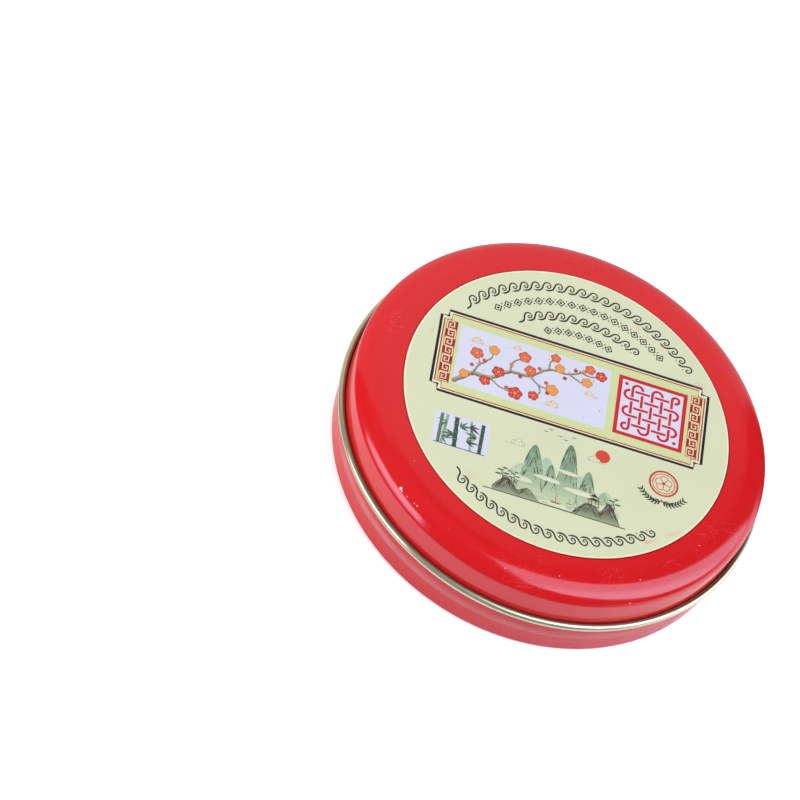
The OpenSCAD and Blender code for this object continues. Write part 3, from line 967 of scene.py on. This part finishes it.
def printed(name):
    m, nt, p = material(name)
    n = Nodes(nt)
    co = n.coords()
    base = n.add("ShaderNodeAttribute", attribute_name="ink").outputs["Color"]
    tone = n.remap(n.noise(60.0, 4.0, 0.55, co), 0.3, 0.7, 0.975, 1.02)
    grain = n.remap(n.noise(2600.0, 2.0, 0.5, co), 0.3, 0.7, 0.985, 1.01)
    base = n.mix(1.0, base, n.vmath("SCALE", (1, 1, 1), scale=n.math("MULTIPLY", tone, grain)), "MULTIPLY")
    # faint pink smudges of paste
    smudge = n.remap(n.noise(150.0, 4.0, 0.6, n.vmath("ADD", co, (0.031, 0.012, 0.0))), 0.66, 0.80, 0.0, 0.30, smooth=True)
    base = n.mix(smudge, base, ink(236, 186, 160) + (1.0,))
    ragged = n.vmath("SCALE", n.noise(480.0, 3.0, 0.65, co, out="Color"), scale=1.0)
    thin = n.remap(n.noise(1100.0, 3.0, 0.6, co), 0.38, 0.62, 0.35, 1.0)
    for sx, sy, along, across, turn, strength in SMUDGES:
        c, q = math.cos(math.radians(turn)), math.sin(math.radians(turn))
        near = n.vmath("ADD", n.vmath("ADD", co, (-sx * MM, -sy * MM, 0.0)), n.vmath("SCALE", n.vmath("ADD", ragged, (-0.5, -0.5, -0.5)), scale=1.6 * across * MM))
        u = n.math("DIVIDE", n.vmath("DOT_PRODUCT", near, (c, q, 0.0)), along * MM)
        v = n.math("DIVIDE", n.vmath("DOT_PRODUCT", near, (-q, c, 0.0)), across * MM)
        away = n.math("SQRT", n.math("ADD", n.math("MULTIPLY", u, u), n.math("MULTIPLY", v, v)))
        mark = n.math("MULTIPLY", n.remap(away, 0.25, 1.05, 1.0, 0.0, smooth=True), thin)
        base = n.mix(n.math("MULTIPLY", mark, strength), base, ink(232, 118, 104) + (1.0,))
    n.link(base, p.inputs["Base Color"])
    n.link(n.remap(n.noise(220.0, 3.0, 0.5, co), 0.3, 0.7, 0.33, 0.42), p.inputs["Roughness"])
    p.inputs["IOR"].default_value = 1.46
    n.link(n.bump(n.noise(900.0, 2.0, 0.5, co), 0.12, 0.00002), p.inputs["Normal"])
    return m


label.data.materials.append(printed("printed_disc"))
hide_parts("lid_label")
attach(label, "lid")

# ------------------------------------------------------------------ paste
def grid_disc(name, rings, segments, height_at, bottom, underside, colour_slot=0):
    """A round body: a modelled top, an edge given by bottom (r, z) points, and a flat underside."""
    verts = [(0.0, 0.0, height_at(0.0, 0.0) * MM)]
    rows = []
    for r in rings:
        row = []
        for k in range(segments):
            t = 2 * math.pi * k / segments
            row.append(len(verts))
            verts.append((r * math.cos(t) * MM, r * math.sin(t) * MM, height_at(r, t) * MM))
        rows.append(row)
    for r, z in bottom:
        row = []
        for k in range(segments):
            t = 2 * math.pi * k / segments
            row.append(len(verts))
            verts.append((r * math.cos(t) * MM, r * math.sin(t) * MM, z * MM))
        rows.append(row)
    faces = [(0, rows[0][k], rows[0][(k + 1) % segments]) for k in range(segments)]
    for a, b in zip(rows, rows[1:]):
        faces += [(a[k], b[k], b[(k + 1) % segments], a[(k + 1) % segments]) for k in range(segments)]
    last = len(verts)
    verts.append((0.0, 0.0, underside * MM))
    faces += [(last, rows[-1][(k + 1) % segments], rows[-1][k]) for k in range(segments)]
    mesh = bpy.data.meshes.new(name)
    mesh.from_pydata(verts, [], faces)
    mesh.polygons.foreach_set("use_smooth", [True] * len(faces))
    work = bmesh.new()
    work.from_mesh(mesh)
    bmesh.ops.recalc_face_normals(work, faces=work.faces)
    work.to_mesh(mesh)
    work.free()
    mesh.set_sharp_from_angle(angle=math.radians(50))
    return new_object(name, mesh)


def paste_top(r, t):
    """The paste is pressed nearly flat, with marks of the spatula that folded it and a soft round edge."""
    x, y = r * math.cos(t), r * math.sin(t)
    v = Vector((x, y, 0.0))
    swirl = math.sin(0.42 * r + 1.15 * math.sin(t * 2 + 0.5) + t * 1.0)
    lump = noise.fractal(v * 0.11 + Vector((3.1, 7.7, 0.4)), 1.0, 2.2, 4)
    fold = 1.0 - abs(noise.noise(v * 0.075 + Vector((9.0, 1.0, 2.0))))
    z = PASTE_Z - 0.42 + 0.10 * swirl + 0.22 * lump + 0.20 * fold ** 3
    z += 0.035 * noise.noise(v * 0.9)
    edge = max(0.0, r - (PASTE_R - 1.9)) / 1.9
    z -= 0.95 * edge ** 2.4
    return min(z, PASTE_Z - 0.03)


paste_rings = [0.7 * k for k in range(1, 58)] + [40.7, 41.3, 41.8, 42.2, 42.5]
paste = grid_disc("paste_cake", paste_rings, 288, paste_top,
                  [(PASTE_R, 9.2), (PASTE_R, 6.0), (PASTE_R, 3.05), (PASTE_R - 0.5, PANEL_Z + SHEET + 1.3), (PANEL_R - 0.2, PANEL_Z + SHEET)],
                  PANEL_Z + SHEET)


def cinnabar(name):
    m, nt, p = material(name)
    n = Nodes(nt)
    co = n.coords()
    tone = n.noise(160.0, 5.0, 0.6, co)
    colour = n.mix(n.remap(tone, 0.3, 0.7, 0.0, 1.0), (0.56, 0.018, 0.010, 1), (0.76, 0.040, 0.018, 1))
    # silky fibres lie through the paste in every direction
    fibres = None
    for k, angle in enumerate((0.3, 1.2, 2.0, 2.8)):
        one = streaks(n, n.vmath("ADD", co, n.vmath("SCALE", n.noise(90.0, 2.0, 0.5, co, out="Color"), scale=0.004)), angle, 0.017 * (k + 1), 0.0024, 0.00016, 0.60)
        fibres = one if fibres is None else n.math("MAXIMUM", fibres, one)
    colour = n.mix(n.math("MULTIPLY", fibres, 0.38), colour, (0.84, 0.085, 0.045, 1))
    n.link(colour, p.inputs["Base Color"])
    oil = n.noise(55.0, 3.0, 0.5, co)
    n.link(n.math("ADD", n.remap(oil, 0.35, 0.65, 0.28, 0.52), n.math("MULTIPLY", fibres, 0.1)), p.inputs["Roughness"])
    p.inputs["IOR"].default_value = 1.48
    grain = n.bump(n.noise(1500.0, 4.0, 0.6, co), 0.35, 0.00006)
    n.link(n.bump(fibres, 0.5, 0.00005, grain), p.inputs["Normal"])
    return m


paste.data.materials.append(cinnabar("cinnabar_paste"))
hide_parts("seal_paste")
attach(paste, "base")

# ------------------------------------------------------------------ film
FILM_Z = PASTE_Z + 0.08


def film_wave(x, y):
    return 0.028 * noise.noise(Vector((x * 0.05, y * 0.05, 4.0)))


def film_mesh():
    """The thin disc, and its pull tab: a strip folded back over the disc at the front edge."""
    seg, rings = 192, [1.5 * k for k in range(1, 27)] + [40.3, 41.1, FILM_R - 0.03, FILM_R]
    verts, faces = [], []
    layers = []
    for side in (1, -1):
        z0 = FILM_Z + FILM_T / 2
        centre = len(verts)
        verts.append((0.0, 0.0, (z0 + side * FILM_T * 0.32 + film_wave(0, 0)) * MM))
        rows = []
        for r in rings:
            row = []
            half = FILM_T * 0.32 if r < FILM_R - 0.01 else FILM_T * 0.2
            for k in range(seg):
                t = 2 * math.pi * k / seg
                x, y = r * math.cos(t), r * math.sin(t)
                row.append(len(verts))
                verts.append((x * MM, y * MM, (z0 + side * half + film_wave(x, y)) * MM))
            rows.append(row)
        faces += [(centre, rows[0][k], rows[0][(k + 1) % seg])[::side] for k in range(seg)]
        for a, b in zip(rows, rows[1:]):
            faces += [(a[k], b[k], b[(k + 1) % seg], a[(k + 1) % seg])[::side] for k in range(seg)]
        layers.append(rows[-1])
    up, low = layers
    faces += [(up[k], low[k], low[(k + 1) % seg], up[(k + 1) % seg]) for k in range(seg)]

    # the tab's path runs from the fold at the edge, inwards over the disc, rising a little at its end
    path = []
    top = FILM_Z + FILM_T + 0.045
    for i in range(7):
        a = math.radians(-90 - 30 * i)
        path.append((-FILM_R + 0.22 + 0.075 * math.cos(a), top + 0.035 + 0.075 * math.sin(a)))
    end = -FILM_R + TAB_L + TAB_W / 2
    for i in range(1, 19):
        u = i / 18
        path.append((-FILM_R + 0.22 + (end + FILM_R - 0.25) * u, top + 0.11 + 0.055 * u * u))
    across, rows = 20, {1: [], -1: []}
    for side in (1, -1):
        for j, (y, z) in enumerate(path):
            half = TAB_W / 2 - 0.05
            if y > -FILM_R + TAB_L:
                half = math.sqrt(max(half ** 2 - (y - (-FILM_R + TAB_L)) ** 2, 0.35))
            reach = math.sqrt(max((FILM_R - 0.12) ** 2 - y * y, 0.0))
            half = min(half, reach)
            row = []
            for i in range(across + 1):
                x = half * (2 * i / across - 1)
                lift = min(0.0, math.sqrt((FILM_R - 0.12) ** 2 - x * x) - (FILM_R - 0.12)) if j < 8 else 0.0
                fade = max(0.0, 1 - j / 8)
                row.append(len(verts))
                verts.append((x * MM, (y - lift * fade * 1.0) * MM, (z + side * 0.022 + film_wave(x, y)) * MM))
            rows[side].append(row)
    for side in (1, -1):
        for a, b in zip(rows[side], rows[side][1:]):
            faces += [(a[i], a[i + 1], b[i + 1], b[i])[::side] for i in range(across)]
    a, b = rows[1], rows[-1]
    rim_up = a[0] + [r[-1] for r in a[1:]] + a[-1][-2::-1] + [r[0] for r in a[-2:0:-1]]
    rim_low = b[0] + [r[-1] for r in b[1:]] + b[-1][-2::-1] + [r[0] for r in b[-2:0:-1]]
    m = len(rim_up)
    faces += [(rim_up[k], rim_low[k], rim_low[(k + 1) % m], rim_up[(k + 1) % m]) for k in range(m)]
    mesh = bpy.data.meshes.new("film_disc")
    mesh.from_pydata(verts, [], faces)
    mesh.polygons.foreach_set("use_smooth", [True] * len(faces))
    work = bmesh.new()
    work.from_mesh(mesh)
    bmesh.ops.recalc_face_normals(work, faces=work.faces)
    work.to_mesh(mesh)
    work.free()
    mesh.set_sharp_from_angle(angle=math.radians(40))
    return mesh


def clear_film(name):
    m, nt, p = material(name)
    n = Nodes(nt)
    co = n.coords()
    p.inputs["Base Color"].default_value = (0.97, 0.98, 0.99, 1)
    p.inputs["Transmission Weight"].default_value = 1.0
    p.inputs["IOR"].default_value = 1.46
    n.link(n.remap(n.noise(240.0, 3.0, 0.5, co), 0.35, 0.65, 0.02, 0.06), p.inputs["Roughness"])
    n.link(n.bump(n.noise(60.0, 2.0, 0.5, co), 0.12, 0.0001), p.inputs["Normal"])
    return m


film = new_object("film_disc", film_mesh())
film.data.materials.append(clear_film("clear_film"))
film.visible_shadow = False             # light reaches the paste through it
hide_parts("cover_film")
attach(film, "film")

# ------------------------------------------------------------------ floor and light
def plain(name, colour, rough=0.9):
    m, nt, p = material(name)
    p.inputs["Base Color"].default_value = colour
    p.inputs["Roughness"].default_value = rough
    p.inputs["Specular IOR Level"].default_value = 0.2
    return m


def flat_ring(name, r_in, r_out, n=128):
    """A flat disc or ring on the table, in metres."""
    verts, faces = [], []
    if r_in <= 0:
        verts.append((0, 0, 0))
        verts += [(r_out * math.cos(2 * math.pi * k / n), r_out * math.sin(2 * math.pi * k / n), 0) for k in range(n)]
        faces = [(0, 1 + k, 1 + (k + 1) % n) for k in range(n)]
    else:
        for r in (r_in, r_out):
            verts += [(r * math.cos(2 * math.pi * k / n), r * math.sin(2 * math.pi * k / n), 0) for k in range(n)]
        faces = [(k, n + k, n + (k + 1) % n, (k + 1) % n) for k in range(n)]
    mesh = bpy.data.meshes.new(name)
    mesh.from_pydata(verts, [], faces)
    return new_object(name, mesh)


# The table near the tin is mirrored in its walls. Further out, the walls mirror the room.
paper = plain("floor_paper", (0.86, 0.84, 0.80, 1))
glow = Nodes(paper.node_tree)
paper_bsdf = next(x for x in paper.node_tree.nodes if x.type == "BSDF_PRINCIPLED")
paper_bsdf.inputs["Emission Color"].default_value = (1, 1, 1, 1)
glow.link(glow.math("MULTIPLY", glow.add("ShaderNodeLightPath").outputs["Is Camera Ray"], 0.35), paper_bsdf.inputs["Emission Strength"])
near_floor = flat_ring("floor_near", 0, 0.066)
far_floor = flat_ring("floor_far", 0.066, 4.0)
far_floor.visible_glossy = False
for ob in (near_floor, far_floor):
    ob.data.materials.append(paper)


def towards(azimuth, elevation):
    """A direction: azimuth 0 looks along +Y and 90 along +X, in degrees."""
    a, e = math.radians(azimuth), math.radians(elevation)
    return Vector((math.sin(a) * math.cos(e), math.cos(a) * math.cos(e), math.sin(e)))


# The room is painted as a plain field of light over direction: a white wall behind the tin, one large
# softbox from the right and overhead, a smaller one low on the left, and a bright table on the right.
world = bpy.data.worlds.new("room")
scene.world = world
world.use_nodes = True
wt = world.node_tree
wt.nodes.clear()
w = Nodes(wt)
wdir = w.vmath("NORMALIZE", w.add("ShaderNodeTexCoord").outputs["Generated"])
wx, wy, wz = w.xyz(wdir)
sky_el = w.math("MULTIPLY", w.math("ARCSINE", wz), 180 / math.pi)


def beside(points, soft):
    """1 inside the convex spherical polygon through points (azimuth, elevation), with edges soft degrees wide."""
    vs = [towards(*p) for p in points]
    mid = sum(vs, Vector()).normalized()
    mask = None
    for i, v in enumerate(vs):
        n = v.cross(vs[(i + 1) % len(vs)]).normalized()
        if n.dot(mid) < 0:
            n.negate()
        e = math.sin(math.radians(soft / 2))
        one = w.remap(w.vmath("DOT_PRODUCT", wdir, tuple(n)), -e, e, 0.0, 1.0, smooth=True)
        mask = one if mask is None else w.math("MULTIPLY", mask, one)
    return mask


def lobe(azimuth, inner, outer):
    """1 within inner degrees of an azimuth, falling to 0 at outer degrees."""
    flat = w.vmath("NORMALIZE", w.vmath("MULTIPLY", wdir, (1, 1, 0)))
    c = w.vmath("DOT_PRODUCT", flat, tuple(towards(azimuth, 0)))
    return w.remap(c, math.cos(math.radians(outer)), math.cos(math.radians(inner)), 0.0, 1.0, smooth=True)


def scaled(mask, level, tint=(1, 1, 1)):
    n = w.add("ShaderNodeVectorMath", operation="SCALE")
    n.inputs[0].default_value = tint
    w.put(n.inputs["Scale"], w.math("MULTIPLY", mask, level))
    return n.outputs["Vector"]


COOL = (0.80, 1.0, 1.30)
key = beside([(189, 76), (170, 46), (142, 37), (120, 25), (104, 17), (88, 9), (66, 5), (68, 30), (70, 56), (82, 75)], 5)
key_level = w.remap(w.vmath("DOT_PRODUCT", wdir, tuple(towards(135, 10))), 0.588, 0.829, 2.75, 4.75, smooth=True)
side = beside([(274, 20), (262, 32), (231, 37), (224, -8), (248, -12), (268, -8)], 5)
side_level = w.remap(sky_el, -10.0, 26.0, 0.1, 5.6)
wall = beside([(306, -40), (300, 31), (307, 50), (318, 64), (350, 65), (10, 60), (20, 52.5), (27, 44.5), (35, 35), (38, 15), (39, -40)], 3)
wall_level = w.math("ADD", 0.45, w.math("MULTIPLY", lobe(30, 5, 70), w.remap(sky_el, 5.0, 45.0, 0.08, 0.27)))
wall_level = w.math("MULTIPLY", wall_level, w.remap(sky_el, 54.0, 48.0, 0.72, 1.0, smooth=True))
flat_dir = w.vmath("NORMALIZE", w.vmath("MULTIPLY", wdir, (1, 1, 0)))
past_back = w.remap(w.vmath("DOT_PRODUCT", flat_dir, tuple(towards(148, 0))), -0.05, 0.15, 0.0, 1.0, smooth=True)
low_right = w.math("POWER", w.remap(w.vmath("DOT_PRODUCT", flat_dir, tuple(towards(88, 0))), 0.42, 0.97, 0.0, 1.0), 1.6)
low_right = w.math("MULTIPLY", w.math("MULTIPLY", low_right, past_back), w.remap(sky_el, 10.0, -2.0, 0.0, 1.0, smooth=True))
low_front = w.math("MULTIPLY", lobe(200, 90, 130), w.remap(sky_el, -20.0, -46.0, 0.0, 1.0, smooth=True))
parts = [
    scaled(key, key_level, COOL),
    scaled(side, side_level, COOL),
    scaled(wall, wall_level, (1.3, 1.0, 1.05)),
    scaled(low_right, 1.75, (1.25, 1.0, 1.24)),
    scaled(low_front, 0.8, COOL),
]
total = parts[0]
for part in parts[1:]:
    total = w.vmath("ADD", total, part)
total = w.vmath("ADD", total, (0.02, 0.02, 0.022))
seen = w.mix(w.add("ShaderNodeLightPath").outputs["Is Camera Ray"], total, (1, 1, 1, 1))
back = w.add("ShaderNodeBackground")
w.link(seen, back.inputs["Color"])
w.link(back.outputs[0], w.add("ShaderNodeOutputWorld").inputs["Surface"])

# Three broad lights lift the matt surfaces and aren't mirrored.
for name, size, energy, colour, place in (
        ("overhead_fill", 1.2, 7.0, (1.0, 0.89, 0.82), (-0.45, 0.15, 0.95)),
        ("left_fill", 0.5, 4.6, (0.88, 0.95, 1.0), (-0.962, -0.084, 0.259)),
        ("right_fill", 0.5, 2.0, (1.0, 0.8, 0.76), (0.770, -0.539, 0.342))):
    fill = bpy.data.lights.new(name, "AREA")
    fill.shape = "DISK"
    fill.size = size
    fill.energy = energy
    fill.color = colour
    fill_ob = bpy.data.objects.new(name, fill)
    scene.collection.objects.link(fill_ob)
    fill_ob.location = place
    fill_ob.rotation_euler = Vector(place).to_track_quat("Z", "Y").to_euler()
    fill_ob.visible_glossy = False
    fill_ob.visible_camera = False
